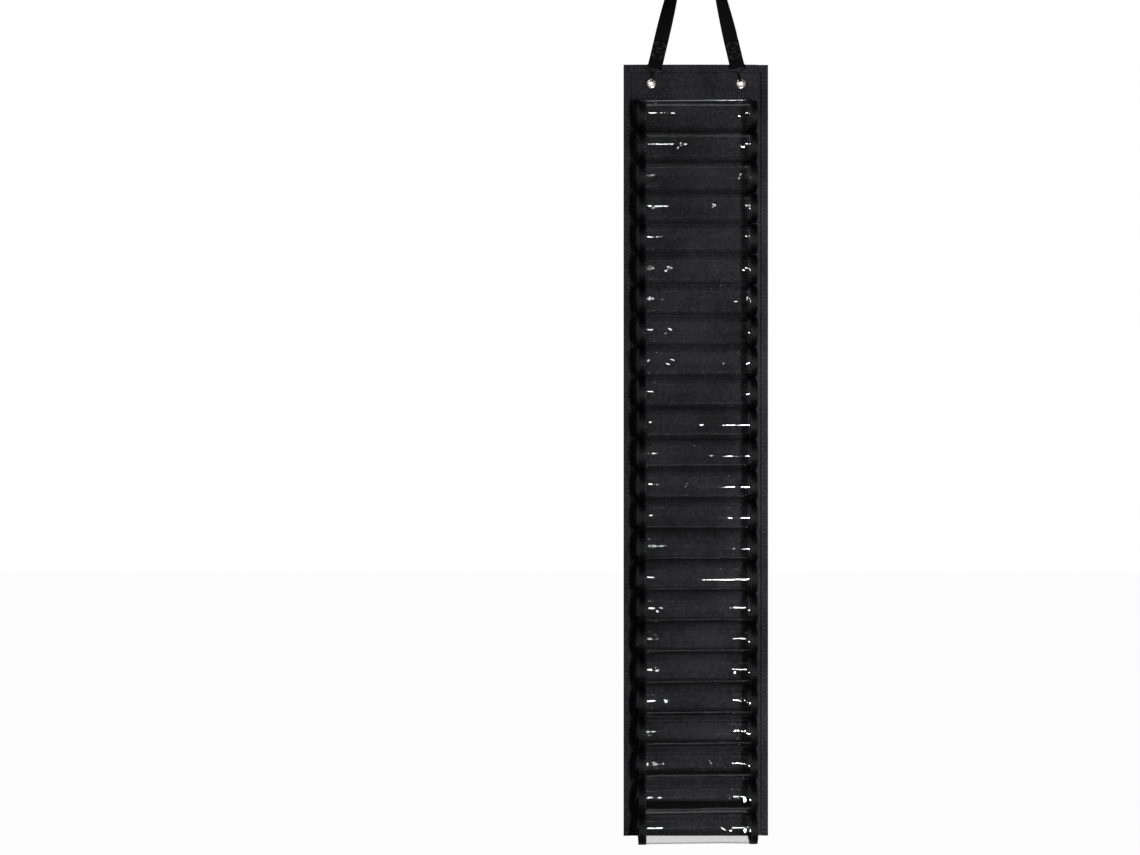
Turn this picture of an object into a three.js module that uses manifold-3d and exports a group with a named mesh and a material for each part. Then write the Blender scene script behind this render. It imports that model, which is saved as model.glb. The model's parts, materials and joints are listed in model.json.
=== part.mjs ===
// Over-door organizer for rolls. A long cloth panel carries clear pockets, each a sheet bent to a
// D that is open at both ends. The panel hangs by two eyelets on two wire hooks, the hooks hang in
// the sewn ends of one webbing strap, and the strap lies in the cradle of a steel over-door hook.
// Millimetres, +Z up, -Y towards the viewer, the door between the over-door hook's legs. The origin
// is on the underside of the over-door hook, where it rests on the top of the door.

import * as THREE from "three";
import { mergeVertices } from "three/addons/utils/BufferGeometryUtils.js";
import Module from "manifold-3d";

const wasm = await Module();
wasm.setup();

// Gaps and overruns
const seatGap = 0.3; // between pieces that rest on each other or are sewn together
const cutOverrun = 1; // how far a cutter runs past the faces it cuts

// Over-door hook, one bent strip of steel
const doorThickness = 45;
const stripWidth = 25;
const stripThickness = 1.5;
const stripBend = 2.5; // radius of the strip's middle at the two edges of the door
const backLegDrop = 35; // door top to the end of the leg behind the door
const cradleDrop = 70; // door top to the centre of the cradle
const cradleRadius = 14; // inside of the cradle
const cradleLip = 11; // straight end of the strip in front of the strap

// Webbing strap
const strapWidth = 24;
const strapThickness = 1.4;
const strapBend = 3; // radius of the strap's middle where it leaves the cradle
const strapRise = 252; // eyelet centres to the strap's lowest line in the cradle
const foldLength = 43; // sewn end that is turned up in front
const foldGap = 0.3; // between the two layers of the sewn end
const foldRun = 12; // length over which the layers part and join
const cupRun = 20; // length over which the cradle's curve leaves the strap
const barPlay = 0.6; // slack between the wire and the sewn loop
const hemPlay = 0.6; // between the sewn ends and the panel's hem, for the panel's swing

// Wire hooks, each one wire doubled at its tip
const wireDiameter = 2;
const wirePitch = 2.6; // between the two wires of the stem
const barSidePlay = 0.6; // beside the webbing, on each side
const barSplit = 0.4; // between the wire's two ends, inside the loop
const hookReach = 28; // bar to eyelet centre
const yokeDrop = 5; // bar to the corners below the webbing
const yokeHeight = 10; // bar to where the wires meet
const yokeRound = 2.2; // radius at the yoke's corners
const yokeFlare = 3; // radius where the arms turn into the stem
const prongLength = 7; // straight end behind the panel
const eyeletPlay = 1; // between the wire and the top of the bore that hangs on it

// Eyelets and their washers
const eyeletSpacing = 149;
const eyeletDrop = 31; // panel top to eyelet centre
const eyeletBore = 8.8;
const flangeDiameter = 16.5;
const flangeThickness = 0.9;
const barrelWall = 0.6;
const rollWidth = 1; // how far the barrel's end is rolled out over the washer
const rollThickness = 0.6;
const washerThickness = 0.6;
const eyeletRound = 0.4; // rounding of the eyelet's visible edges

// Cloth panel
const panelWidth = 240;
const clothThickness = 1.4;
const hemThickness = 2;
const hemWidth = 11.5;

// Clear pockets
const pocketCount = 24;
const pocketPitch = 50.3;
const firstSeamDrop = 63; // panel top to the first seam
const lastSeamRise = 9.8; // panel bottom to the last seam
const pocketDepth = 48;
const sleeveWidth = 193;
const sheetThickness = 0.5;
const topTab = 6; // flat edge of the sheet above the first seam
const topSag = 3; // how far the front of the first pocket hangs below its seams
const lowSag = 10.5; // the same for the last pocket of the even run
const tailSag = 18; // the same for the slack pockets at the bottom end
const tailSagShares = [0.72, 1, 1];

// Edge tapes
const tapeWidth = 12;
const tapeThickness = 0.8;

// Counts that set how round things are
const arcSteps = 8;
const turnSteps = 4;
const latheSegments = 28;
const wireSides = 8;
const shortestRun = 0.02; // straight runs of wire shorter than this are left out
const wireSteps = 96;
const acrossSteps = 6;
const legSteps = 18;

// Worked out from the sizes above
const hangY = -(doorThickness / 2 + stripThickness + cradleRadius);
const barLoopRadius = wireDiameter / 2 + barPlay + strapThickness / 2;
const hemFrontY = hangY + barLoopRadius + strapThickness / 2 + hemPlay;
const clothFrontY = hemFrontY + (hemThickness - clothThickness);
const clothBackY = clothFrontY + clothThickness;
const flangeFrontY = clothFrontY - seatGap - flangeThickness;
const rollFrontY = clothBackY + seatGap + washerThickness + seatGap;
const rollBackY = rollFrontY + rollThickness;
const hookBend = (flangeFrontY + rollBackY) / 2 - hangY;
const cupRadius = cradleRadius - seatGap - strapThickness / 2;
const strapLowZ = -cradleDrop - cupRadius;
const eyeletZ = strapLowZ - strapRise;
const panelTopZ = eyeletZ + eyeletDrop;
const panelHeight = firstSeamDrop + pocketCount * pocketPitch + lastSeamRise;
const eyeletX = eyeletSpacing / 2;
const barrelRadius = eyeletBore / 2 + barrelWall;
const sheetY = clothFrontY - seatGap - sheetThickness / 2;
const across = new THREE.Vector3(1, 0, 0);
const back = new THREE.Vector3(0, 1, 0);
const up = new THREE.Vector3(0, 0, 1);

// The strap's leg is the tangent from the eyelet to the bend beside the cradle.
const bendCentre = new THREE.Vector3(stripWidth / 2, hangY, strapLowZ - strapBend);
const toBendX = eyeletX - bendCentre.x;
const toBendZ = bendCentre.z - eyeletZ;
const legTilt =
  Math.atan2(toBendX, toBendZ) - Math.asin(strapBend / Math.hypot(toBendX, toBendZ));
const legDown = new THREE.Vector3(Math.sin(legTilt), 0, -Math.cos(legTilt));
const legOut = new THREE.Vector3(Math.cos(legTilt), 0, Math.sin(legTilt));
const barCentre = new THREE.Vector3(eyeletX, hangY, eyeletZ).addScaledVector(
  legDown,
  -hookReach,
);

// The sheet's walls are steepest at the seams of the pockets that sag most, and the tapes that lie
// on neighbouring walls there need this much room.
const steepest = Math.cos(Math.atan((2 * tailSag) / pocketDepth));
const tapeOffset = (sheetThickness / 2 + seatGap + tapeThickness / 2) / steepest;
const seamRoom = 2 * tapeOffset + (tapeThickness + seatGap) / steepest;

const steel = { color: 0xb9bbbd, roughness: 0.35, metalness: 1 };
const nickel = { color: 0xd8d6d0, roughness: 0.18, metalness: 1 };
const webbing = { color: 0x1c1a1b, roughness: 0.85, metalness: 0 };
const cloth = { color: 0x242425, roughness: 0.9, metalness: 0 };
const binding = { color: 0x161617, roughness: 0.8, metalness: 0 };
const clearSheet = {
  color: 0xe8ebec,
  roughness: 0.08,
  metalness: 0,
  transparent: true,
  opacity: 0.25,
};

function namedMesh(name, geometry, finish) {
  const mesh = new THREE.Mesh(geometry, new THREE.MeshStandardMaterial(finish));
  mesh.name = name;
  return mesh;
}

// Points on an arc of a side profile, from one angle to another.
function arc(centre, radius, from, to, steps) {
  return Array.from({ length: steps + 1 }, (_, i) => {
    const angle = from + ((to - from) * i) / steps;
    return new THREE.Vector2(
      centre.x + radius * Math.cos(angle),
      centre.y + radius * Math.sin(angle),
    );
  });
}

// The outline of a strip of one thickness whose middle follows the profile.
function stripOutline(profile, thickness) {
  const none = new THREE.Vector2();
  const sides = profile.map((point, i) => {
    const from = i > 0 ? point.clone().sub(profile[i - 1]).normalize() : none;
    const to = i < profile.length - 1 ? profile[i + 1].clone().sub(point).normalize() : none;
    const along = from.clone().add(to).normalize();
    const reach = thickness / 2 / Math.max(along.dot(from), along.dot(to));
    return new THREE.Vector2(-along.y, along.x).multiplyScalar(reach);
  });
  const left = profile.map((point, i) => point.clone().add(sides[i]));
  const right = profile.map((point, i) => point.clone().sub(sides[i]));
  return [...left, ...right.reverse()];
}

// A strip bent along a side profile of (y, z) points, from x = fromX over the given width.
function bentStrip(profile, thickness, fromX, width) {
  const shape = new THREE.Shape(stripOutline(profile, thickness));
  const geometry = new THREE.ExtrudeGeometry(shape, { depth: width, bevelEnabled: false });
  geometry.applyMatrix4(new THREE.Matrix4().makeBasis(back, up, across));
  return geometry.translate(fromX, 0, 0);
}

// A closed band through a list of stations. Each station has its middle, the direction of its
// width, its normal, and how strongly its width is cupped towards the normal.
function band(stations, width, thickness) {
  const ring = 2 * (acrossSteps + 1);
  const points = [];
  for (const { middle, wide, normal, cup } of stations) {
    const faces = [1, -1].map((side) =>
      Array.from({ length: acrossSteps + 1 }, (_, i) => {
        const along = width * (i / acrossSteps - 1 / 2);
        const angle = along * cup;
        const sideways = cup ? Math.sin(angle) / cup : along;
        const rise = cup ? (1 - Math.cos(angle)) / cup : 0;
        const half = (side * thickness) / 2;
        return middle
          .clone()
          .addScaledVector(wide, sideways - half * Math.sin(angle))
          .addScaledVector(normal, rise + half * Math.cos(angle));
      }),
    );
    points.push(...faces[0], ...faces[1].reverse());
  }
  const index = [];
  for (let i = 0; i < stations.length - 1; i++) {
    for (let j = 0; j < ring; j++) {
      const [a, b] = [i * ring + j, i * ring + ((j + 1) % ring)];
      index.push(a, b + ring, b, a, a + ring, b + ring);
    }
  }
  const last = (stations.length - 1) * ring;
  for (let j = 0; j < acrossSteps; j++) {
    const [a, b, c, d] = [j, j + 1, ring - 2 - j, ring - 1 - j];
    index.push(a, b, c, a, c, d);
    index.push(last + a, last + c, last + b, last + a, last + d, last + c);
  }
  const geometry = new THREE.BufferGeometry().setFromPoints(points);
  geometry.setIndex(index);
  return geometry;
}

// A path through corner points, each corner rounded to its radius by a cubic that follows the arc.
function roundedPath(corners) {
  const path = new THREE.CurvePath();
  let from = corners[0].at;
  for (let i = 1; i < corners.length - 1; i++) {
    const { at, radius } = corners[i];
    const before = at.clone().sub(corners[i - 1].at).normalize();
    const after = corners[i + 1].at.clone().sub(at).normalize();
    const turn = before.angleTo(after);
    const cut = radius * Math.tan(turn / 2);
    const handle = (4 / 3) * Math.tan(turn / 4) * radius;
    const start = at.clone().addScaledVector(before, -cut);
    const end = at.clone().addScaledVector(after, cut);
    if (start.distanceTo(from) > shortestRun) path.add(new THREE.LineCurve3(from, start));
    path.add(
      new THREE.CubicBezierCurve3(
        start,
        start.clone().addScaledVector(before, handle),
        end.clone().addScaledVector(after, -handle),
        end,
      ),
    );
    from = end;
  }
  path.add(new THREE.LineCurve3(from, corners[corners.length - 1].at));
  return path;
}

function solidOf(geometry) {
  const plain = geometry.clone();
  plain.deleteAttribute("normal");
  plain.deleteAttribute("uv");
  const merged = mergeVertices(plain);
  return new wasm.Manifold(
    new wasm.Mesh({
      numProp: 3,
      vertProperties: merged.attributes.position.array,
      triVerts: new Uint32Array(merged.index.array),
    }),
  );
}

function geometryOf(solid) {
  const { vertProperties, triVerts } = solid.getMesh();
  const geometry = new THREE.BufferGeometry();
  geometry.setAttribute("position", new THREE.BufferAttribute(vertProperties, 3));
  geometry.setIndex(new THREE.BufferAttribute(triVerts, 1));
  geometry.computeVertexNormals();
  return geometry;
}

// Up behind the door, over its top, down its front and round into the cradle.
function overDoorHook() {
  const legY = doorThickness / 2 + stripThickness / 2;
  const topZ = stripThickness / 2;
  const cradleMiddle = cradleRadius + stripThickness / 2;
  const corner = (y, from) =>
    arc(new THREE.Vector2(y, topZ - stripBend), stripBend, from, from + Math.PI / 2, turnSteps);
  const profile = [
    new THREE.Vector2(legY, -backLegDrop),
    ...corner(legY - stripBend, 0),
    ...corner(stripBend - legY, Math.PI / 2),
    ...arc(new THREE.Vector2(hangY, -cradleDrop), cradleMiddle, 0, -Math.PI, 2 * arcSteps),
    new THREE.Vector2(hangY - cradleMiddle, -cradleDrop + cradleLip),
  ];
  return bentStrip(profile, stripThickness, -stripWidth / 2, stripWidth);
}

// The right half of the strap: out of the cradle, down the leg with a quarter turn, round the wire
// and up in front. The left half mirrors it.
function strapHalf() {
  const stations = [];
  for (const share of [0, 1]) {
    const middle = new THREE.Vector3(bendCentre.x * share, hangY, strapLowZ);
    stations.push({ middle, wide: back, normal: up, cup: 1 / cupRadius });
  }
  const bendAngle = Math.PI / 2 - legTilt;
  for (let i = 1; i <= turnSteps; i++) {
    const angle = (bendAngle * i) / turnSteps;
    const normal = new THREE.Vector3(Math.sin(angle), 0, Math.cos(angle));
    const middle = bendCentre.clone().addScaledVector(normal, strapBend);
    const cup = (1 - i / turnSteps / 2) / cupRadius;
    stations.push({ middle, wide: back, normal, cup });
  }
  const legStart = bendCentre.clone().addScaledVector(legOut, strapBend);
  const foldTop = foldLength + foldRun;
  const legLength = legStart.distanceTo(barCentre) - foldTop;
  for (let i = 1; i <= legSteps; i++) {
    const along = (legLength * i) / legSteps;
    const twist = (Math.PI / 2) * (i / legSteps);
    const wide = back.clone().multiplyScalar(Math.cos(twist));
    wide.addScaledVector(legOut, Math.sin(twist));
    const normal = legOut.clone().multiplyScalar(Math.cos(twist));
    normal.addScaledVector(back, -Math.sin(twist));
    const middle = legStart.clone().addScaledVector(legDown, along);
    const cup = Math.max(1 / 2 - along / cupRun / 2, 0) / cupRadius;
    stations.push({ middle, wide, normal, cup });
  }
  const layer = (strapThickness + foldGap) / 2;
  const fold = [
    new THREE.Vector2(-foldTop, 0),
    new THREE.Vector2(-foldLength - foldGap, layer),
    new THREE.Vector2(-foldRun, layer),
    ...arc(new THREE.Vector2(), barLoopRadius, Math.PI / 2, -Math.PI / 2, arcSteps),
    new THREE.Vector2(-foldRun, -layer),
    new THREE.Vector2(-foldLength, -layer),
  ];
  for (let i = 1; i < fold.length; i++) {
    const next = fold[Math.min(i + 1, fold.length - 1)];
    const run = next.clone().sub(fold[i - 1]).normalize();
    const along = legDown.clone().multiplyScalar(run.x).addScaledVector(back, run.y);
    const middle = barCentre.clone().addScaledVector(legDown, fold[i].x);
    middle.addScaledVector(back, fold[i].y);
    const normal = along.clone().cross(legOut);
    stations.push({ middle, wide: legOut, normal, cup: 0 });
  }
  return stations;
}

function hangingStrap() {
  const mirror = new THREE.Vector3(-1, 1, 1);
  const right = strapHalf();
  const left = right.slice(1).map(({ middle, wide, normal, cup }) => ({
    middle: middle.clone().multiply(mirror),
    wide: wide.clone().multiply(mirror),
    normal: normal.clone().multiply(mirror),
    cup,
  }));
  return band([...left.reverse(), ...right], strapWidth, strapThickness);
}

// From the middle of the bar, round the yoke, down the stem, through the eyelet and up behind the
// panel, then back beside itself. The bar lies along x and the stem points down.
function wireHook() {
  const armX = strapWidth / 2 + barSidePlay + wireDiameter / 2;
  const stemX = wirePitch / 2;
  const turnZ = -(hookReach - eyeletBore / 2 + eyeletPlay + wireDiameter / 2);
  const tipZ = turnZ + hookBend + prongLength + stemX;
  const half = [
    { at: new THREE.Vector3(barSplit / 2, 0, 0) },
    { at: new THREE.Vector3(armX, 0, 0), radius: yokeRound },
    { at: new THREE.Vector3(armX, 0, -yokeDrop), radius: yokeRound },
    { at: new THREE.Vector3(stemX, 0, -yokeHeight), radius: yokeFlare },
    { at: new THREE.Vector3(stemX, 0, turnZ), radius: hookBend },
    { at: new THREE.Vector3(stemX, 2 * hookBend, turnZ), radius: hookBend },
    { at: new THREE.Vector3(stemX, 2 * hookBend, tipZ), radius: stemX },
  ];
  const mirror = new THREE.Vector3(-1, 1, 1);
  const otherHalf = half.map(({ at, radius }) => ({ at: at.clone().multiply(mirror), radius }));
  const section = new THREE.Shape(
    arc(new THREE.Vector2(), wireDiameter / 2, 0, 2 * Math.PI, wireSides).slice(1),
  );
  return new THREE.ExtrudeGeometry(section, {
    steps: wireSteps,
    extrudePath: roundedPath([...half, ...otherHalf.reverse()]),
  });
}

// A ring turned about the eyelet's axis from a closed profile of (radius, y) points.
function turned(profile, x) {
  const points = profile.map(([radius, y]) => new THREE.Vector2(radius, y));
  const geometry = new THREE.LatheGeometry([...points, points[0]].reverse(), latheSegments);
  return geometry.translate(x, 0, eyeletZ);
}

function eyelet(x) {
  const bore = eyeletBore / 2;
  const rim = flangeDiameter / 2;
  const flangeBackY = flangeFrontY + flangeThickness;
  const profile = [
    [bore, flangeFrontY + eyeletRound],
    [bore, rollBackY - eyeletRound],
    [bore + eyeletRound, rollBackY],
    [barrelRadius + rollWidth, rollBackY],
    [barrelRadius + rollWidth, rollFrontY],
    [barrelRadius, rollFrontY],
    [barrelRadius, flangeBackY],
    [rim, flangeBackY],
    [rim, flangeBackY - flangeThickness / 3],
    [rim - 2 * eyeletRound, flangeFrontY],
    [bore + eyeletRound, flangeFrontY],
  ];
  return turned(profile, x);
}

function washer(x) {
  const bore = barrelRadius + seatGap;
  const front = clothBackY + seatGap;
  const profile = [
    [bore, front],
    [bore, front + washerThickness],
    [flangeDiameter / 2, front + washerThickness],
    [flangeDiameter / 2, front],
  ];
  return turned(profile, x);
}

function rectangle(shape, left, right, bottom, top) {
  shape.moveTo(left, bottom).lineTo(right, bottom).lineTo(right, top).lineTo(left, top);
  return shape.closePath();
}

// A flat piece from an outline in (x, z), with its front at frontY.
function flatPiece(shape, thickness, frontY) {
  const geometry = new THREE.ExtrudeGeometry(shape, { depth: thickness, bevelEnabled: false });
  geometry.applyMatrix4(new THREE.Matrix4().makeBasis(across, up, back.clone().negate()));
  return geometry.translate(0, frontY + thickness, 0);
}

// The cloth with its turned hems down both sides and along the top.
function backingPanel() {
  const half = panelWidth / 2;
  const bottomZ = panelTopZ - panelHeight;
  const sheet = rectangle(new THREE.Shape(), -half, half, bottomZ, panelTopZ);
  const hems = new THREE.Shape();
  hems.moveTo(-half, bottomZ).lineTo(hemWidth - half, bottomZ);
  hems.lineTo(hemWidth - half, panelTopZ - hemWidth).lineTo(half - hemWidth, panelTopZ - hemWidth);
  hems.lineTo(half - hemWidth, bottomZ).lineTo(half, bottomZ);
  hems.lineTo(half, panelTopZ).lineTo(-half, panelTopZ).closePath();
  let panel = solidOf(flatPiece(sheet, clothThickness, clothFrontY));
  panel = panel.add(solidOf(flatPiece(hems, hemThickness, hemFrontY)));
  for (const x of [-eyeletX, eyeletX]) {
    const cutter = new THREE.CylinderGeometry(
      barrelRadius + seatGap,
      barrelRadius + seatGap,
      hemThickness + 2 * cutOverrun,
      latheSegments,
    );
    cutter.translate(x, (hemFrontY + clothBackY) / 2, eyeletZ);
    panel = panel.subtract(solidOf(cutter));
  }
  return geometryOf(panel);
}

// Height of seam i, counted from 0 at the top.
const seamZ = (i) => panelTopZ - firstSeamDrop - i * pocketPitch;

// How far the front of pocket i hangs below its seams.
function pocketSag(i) {
  const even = pocketCount - tailSagShares.length;
  if (i >= even) return tailSag * tailSagShares[i - even];
  return topSag + ((lowSag - topSag) * i) / Math.max(even - 1, 1);
}

// Moves a profile point of (depth, z) down with the sag and turns it to (y, z).
function hung(point, i) {
  const share = Math.min(Math.max(point.x, 0) / pocketDepth, 1);
  const drop = pocketSag(i) * share * (2 - share);
  return new THREE.Vector2(sheetY - point.x, point.y - drop);
}

// The curved run of pocket i from its upper wall round the front to its lower wall. grow moves it
// outwards, for what lies on the sheet.
function pocketFront(i, grow) {
  const top = seamZ(i) - seamRoom / 2 + grow;
  const bottom = seamZ(i + 1) + seamRoom / 2 - grow;
  const radius = (top - bottom) / 2;
  const centre = new THREE.Vector2(pocketDepth + grow - radius, (top + bottom) / 2);
  const walls = [0, 1 / 2].map((share) => centre.x * share);
  const upper = walls.map((depth) => new THREE.Vector2(depth, top));
  const lower = walls.map((depth) => new THREE.Vector2(depth, bottom)).reverse();
  return {
    upper,
    front: arc(centre, radius, Math.PI / 2, -Math.PI / 2, arcSteps),
    lower,
  };
}

function pocket(i) {
  const { upper, front, lower } = pocketFront(i, 0);
  const start = i === 0 ? [new THREE.Vector2(0, upper[0].y + topTab)] : [];
  const foot = sheetThickness / 2;
  if (i > 0) upper[0].x = -foot;
  lower[lower.length - 1].x = -foot;
  const profile = [...start, ...upper, ...front, ...lower].map((point) => hung(point, i));
  return bentStrip(profile, sheetThickness, -sleeveWidth / 2, sleeveWidth);
}

// One tape lies on the sheet's outside down a whole edge, and dips in at every seam.
function edgeTape(fromX) {
  const profile = [];
  const dipRadius = seamRoom / 2 - tapeOffset;
  const dipDepth = dipRadius + tapeThickness / 2 - sheetThickness / 2;
  for (let i = 0; i < pocketCount; i++) {
    const { upper, front, lower } = pocketFront(i, tapeOffset);
    const dip = arc(
      new THREE.Vector2(dipDepth, seamZ(i + 1)),
      dipRadius,
      Math.PI / 2,
      (3 * Math.PI) / 2,
      turnSteps,
    );
    const start = i === 0 ? [new THREE.Vector2(tapeOffset, upper[0].y + topTab)] : [];
    if (i === 0) upper[0].x = tapeOffset;
    else upper.shift();
    const isLast = i === pocketCount - 1;
    if (isLast) lower[lower.length - 1].x = -sheetThickness / 2;
    else lower.pop();
    const end = isLast ? [] : dip;
    profile.push(...[...start, ...upper, ...front, ...lower, ...end].map((p) => hung(p, i)));
  }
  return bentStrip(profile, tapeThickness, fromX, tapeWidth);
}

const organizer = new THREE.Group();
organizer.add(namedMesh("over_door_hook", overDoorHook(), steel));
organizer.add(namedMesh("hanging_strap", hangingStrap(), webbing));
organizer.add(namedMesh("backing_panel", backingPanel(), cloth));

for (const [side, sign] of [
  ["left", -1],
  ["right", 1],
]) {
  const hook = namedMesh("wire_hook_" + side, wireHook(), nickel);
  hook.position.set(sign * barCentre.x, hangY, barCentre.z);
  hook.rotation.y = -sign * legTilt;
  organizer.add(hook);
  organizer.add(namedMesh("eyelet_" + side, eyelet(sign * eyeletX), nickel));
  organizer.add(namedMesh("eyelet_washer_" + side, washer(sign * eyeletX), nickel));
  const tapeX = sign > 0 ? sleeveWidth / 2 - tapeWidth : -sleeveWidth / 2;
  organizer.add(namedMesh("edge_tape_" + side, edgeTape(tapeX), binding));
}

for (let i = 0; i < pocketCount; i++) {
  const name = "pocket_" + String(i + 1).padStart(2, "0");
  organizer.add(namedMesh(name, pocket(i), clearSheet));
}

export default organizer;
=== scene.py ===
import bpy
import bmesh
import json
import math
import random
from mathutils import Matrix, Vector, noise


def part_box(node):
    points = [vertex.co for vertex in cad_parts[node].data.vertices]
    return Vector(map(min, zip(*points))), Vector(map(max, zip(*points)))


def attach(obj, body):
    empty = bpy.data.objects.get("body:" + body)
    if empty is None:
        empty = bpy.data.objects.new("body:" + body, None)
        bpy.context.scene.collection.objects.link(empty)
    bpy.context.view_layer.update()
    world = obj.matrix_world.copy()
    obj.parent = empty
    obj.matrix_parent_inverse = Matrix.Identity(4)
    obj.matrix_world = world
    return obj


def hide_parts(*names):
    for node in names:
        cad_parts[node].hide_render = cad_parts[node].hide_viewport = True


# Over-door organizer: a steel hook, a webbing strap, two nickel wire hooks, and a long black cloth
# panel with a column of clear vinyl pockets bound in black tape. The frame is in metres, and the
# dictionaries below give millimetres.

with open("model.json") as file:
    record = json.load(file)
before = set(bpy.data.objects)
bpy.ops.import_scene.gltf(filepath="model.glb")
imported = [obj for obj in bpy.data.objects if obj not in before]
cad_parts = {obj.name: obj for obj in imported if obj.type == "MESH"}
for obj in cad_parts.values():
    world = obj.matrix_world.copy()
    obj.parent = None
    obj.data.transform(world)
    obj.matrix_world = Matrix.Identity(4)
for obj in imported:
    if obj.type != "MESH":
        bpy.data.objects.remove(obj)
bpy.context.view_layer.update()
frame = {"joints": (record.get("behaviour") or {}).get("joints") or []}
mm = 0.001
random.seed(11)

joints = {joint["name"]: joint for joint in frame["joints"]}
cradleAt = Vector(joints["strap_swing"]["pos_m"])
barAt = Vector(joints["hook_right_swing"]["pos_m"])
panelLow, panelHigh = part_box("backing_panel")
eyeletLow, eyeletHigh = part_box("eyelet_right")
eyeletAt = (eyeletLow + eyeletHigh) / 2
hangY = cradleAt.y
legTilt = math.atan2(eyeletAt.x - barAt.x, barAt.z - eyeletAt.z)
legDown = Vector((math.sin(legTilt), 0, -math.cos(legTilt)))
legOut = Vector((math.cos(legTilt), 0, math.sin(legTilt)))
forward = Vector((0, -1, 0))
backward = Vector((0, 1, 0))
upward = Vector((0, 0, 1))
mirror = Vector((-1, 1, 1))


# Small helpers

def addObject(name, data):
    thing = bpy.data.objects.new(name, data)
    bpy.context.scene.collection.objects.link(thing)
    return thing


def newPiece(name, points, faces, material, body, uvs=None, smooth=True):
    mesh = bpy.data.meshes.new(name)
    mesh.from_pydata(points, [], faces)
    if uvs:
        layer = mesh.uv_layers.new(name="UVMap")
        for loop in mesh.loops:
            layer.data[loop.index].uv = uvs[loop.vertex_index]
    mesh.polygons.foreach_set("use_smooth", [smooth] * len(mesh.polygons))
    mesh.materials.append(material)
    piece = addObject(name, mesh)
    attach(piece, body)
    return piece


def shadeByAngle(piece):
    for polygon in piece.data.polygons:
        polygon.use_smooth = True
    bpy.context.view_layer.objects.active = piece
    piece.select_set(True)
    bpy.ops.object.shade_auto_smooth(angle=math.radians(35))
    piece.select_set(False)


def faceOutward(piece):
    bm = bmesh.new()
    bm.from_mesh(piece.data)
    bmesh.ops.recalc_face_normals(bm, faces=bm.faces)
    bm.to_mesh(piece.data)
    bm.free()


def inMetres(sizes):
    return {name: value * mm for name, value in sizes.items()}


def ease(value):
    value = min(max(value, 0), 1)
    return value * value * (3 - 2 * value)


# Even shares of a run, from its first step to 1.
def shares(steps):
    return [i / steps for i in range(1, steps + 1)]


def arcPoints(centre, radius, start, end, steps):
    turns = [start + (end - start) * share for share in [0] + shares(steps)]
    return [(centre[0] + radius * math.cos(t), centre[1] + radius * math.sin(t)) for t in turns]


# Joins rings of equal length into a closed skin, with a flat cap at each end. The faces count the
# points from the given first number on.
def skinRings(rings, first=0):
    count = len(rings[0])
    points = [point for ring in rings for point in ring]
    faces = []
    for i in range(len(rings) - 1):
        for j in range(count):
            a = first + i * count + j
            b = first + i * count + (j + 1) % count
            faces.append((a, b, b + count, a + count))
    last = first + (len(rings) - 1) * count
    faces.append(tuple(first + j for j in reversed(range(count))))
    faces.append(tuple(last + j for j in range(count)))
    return points, faces


# The photograph's view: straight on, a little left of the organizer and near its middle height

view = {
    "pixelWidth": 1140,
    "pixelHeight": 855,
    "objectCentrePixel": 695.9,
    "panelTopPixel": 64.6,
    "panelTallPixels": 771.3,
    "distance": 2450,
}


def makeCamera():
    perPixel = (panelHigh.z - panelLow.z) / view["panelTallPixels"]
    distance = view["distance"] * mm
    data = bpy.data.cameras.new("camera")
    data.sensor_width = 36
    data.lens = data.sensor_width * distance / (view["pixelWidth"] * perPixel)
    data.clip_end = 50
    camera = addObject("camera", data)
    camera.location = (
        (view["pixelWidth"] / 2 - view["objectCentrePixel"]) * perPixel,
        panelLow.y - distance,
        panelHigh.z - (view["pixelHeight"] / 2 - view["panelTopPixel"]) * perPixel,
    )
    camera.rotation_euler = (math.pi / 2, 0, 0)
    bpy.context.scene.camera = camera


makeCamera()
print("camera placed")


# Materials

def hexColour(text):
    parts = [int(text[i : i + 2], 16) / 255 for i in (1, 3, 5)]
    linear = [p / 12.92 if p <= 0.04045 else ((p + 0.055) / 1.055) ** 2.4 for p in parts]
    return (*linear, 1)


# Adds a node with its values, links and settings, and a colour ramp's stops. A link comes from a
# socket, or from a node's first output.
def addNode(tree, kind, values=None, links=None, stops=(), **settings):
    node = tree.nodes.new("ShaderNode" + kind)
    for name, value in settings.items():
        setattr(node, name, value)
    for name, value in (values or {}).items():
        node.inputs[name].default_value = value
    for name, source in (links or {}).items():
        tree.links.new(getattr(source, "outputs", [source])[0], node.inputs[name])
    for i, (place, colour) in enumerate(stops):
        node.color_ramp.elements[i].position = place
        node.color_ramp.elements[i].color = hexColour(colour)
    return node


def newMaterial(name, values):
    material = bpy.data.materials.new(name)
    material.use_nodes = True
    tree = material.node_tree
    surface = tree.nodes["Principled BSDF"]
    for socket, value in values.items():
        surface.inputs[socket].default_value = value
    return material, tree, surface


# Turns patterns into a roughness, which runs with the wear from its first value to its second, and
# a bump from the relief, with a strength and a depth in millimetres.
def wornSurface(tree, look, wear, relief):
    low, high = look["roughness"]
    strength, depth = look["bump"]
    rough = addNode(tree, "MapRange", {"To Min": low, "To Max": high}, {"Value": wear})
    bump = addNode(tree, "Bump", {"Strength": strength, "Distance": depth * mm}, {"Height": relief})
    return rough, bump


def linkSurface(tree, surface, look, wear, relief, colour=None):
    rough, bump = wornSurface(tree, look, wear, relief)
    for socket, source in {"Roughness": rough, "Normal": bump, "Base Color": colour}.items():
        if source:
            tree.links.new(source.outputs[0], surface.inputs[socket])


# Height of threads that rise and fall once in each spacing along one coordinate.
def threadWave(tree, coordinate, spacing):
    turn = addNode(tree, "Math", {1: math.pi / spacing}, {0: coordinate}, operation="MULTIPLY")
    wave = addNode(tree, "Math", links={0: turn}, operation="SINE")
    return addNode(tree, "Math", links={0: wave}, operation="ABSOLUTE")


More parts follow.
